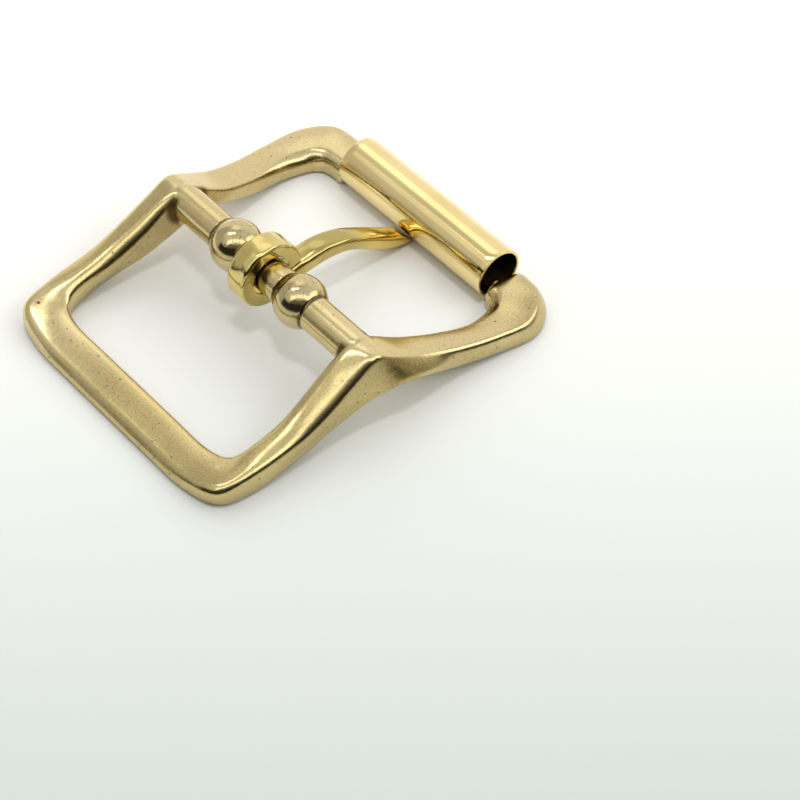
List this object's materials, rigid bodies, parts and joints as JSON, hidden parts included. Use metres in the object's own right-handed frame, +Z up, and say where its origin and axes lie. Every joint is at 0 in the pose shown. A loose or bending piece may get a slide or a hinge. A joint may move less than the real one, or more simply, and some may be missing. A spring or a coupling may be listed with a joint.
{
  "type": "centre-bar roller buckle",
  "caption": "Solid brass centre-bar buckle with a humped rectangular frame, a loose tongue held between two balls on the bar, and a tube roller turning on the end bar.",
  "frame": {"origin": "on the table, under the middle of the buckle's bounding box", "axes": "+X from the keeper end towards the roller, +Y along the centre bar towards the far arm, +Z up from the table"},
  "size_m": [0.0671, 0.0596, 0.0163],
  "materials": {
    "cast_brass": "satin tumbled casting with polished edges",
    "polished_brass": "polished, with hammer marks",
    "sheet_brass": "polished drawn tube"
  },
  "bodies": {
    "frame": {"frame": "cast_brass"},
    "tongue": {"tongue": "polished_brass"},
    "roller": {"roller": "sheet_brass"}
  },
  "joints": [
    {"name": "tongue_hinge", "type": "hinge", "parent": "frame", "child": "tongue", "pos_m": [-0.00175, 0.0012, 0.0105], "axis": [0, 1, 0], "range_deg": [0, 134]},
    {"name": "roller_turn", "type": "hinge", "parent": "frame", "child": "roller", "pos_m": [0.02925, -0.0016, 0.0043], "axis": [0, 1, 0], "continuous": true}
  ]
}
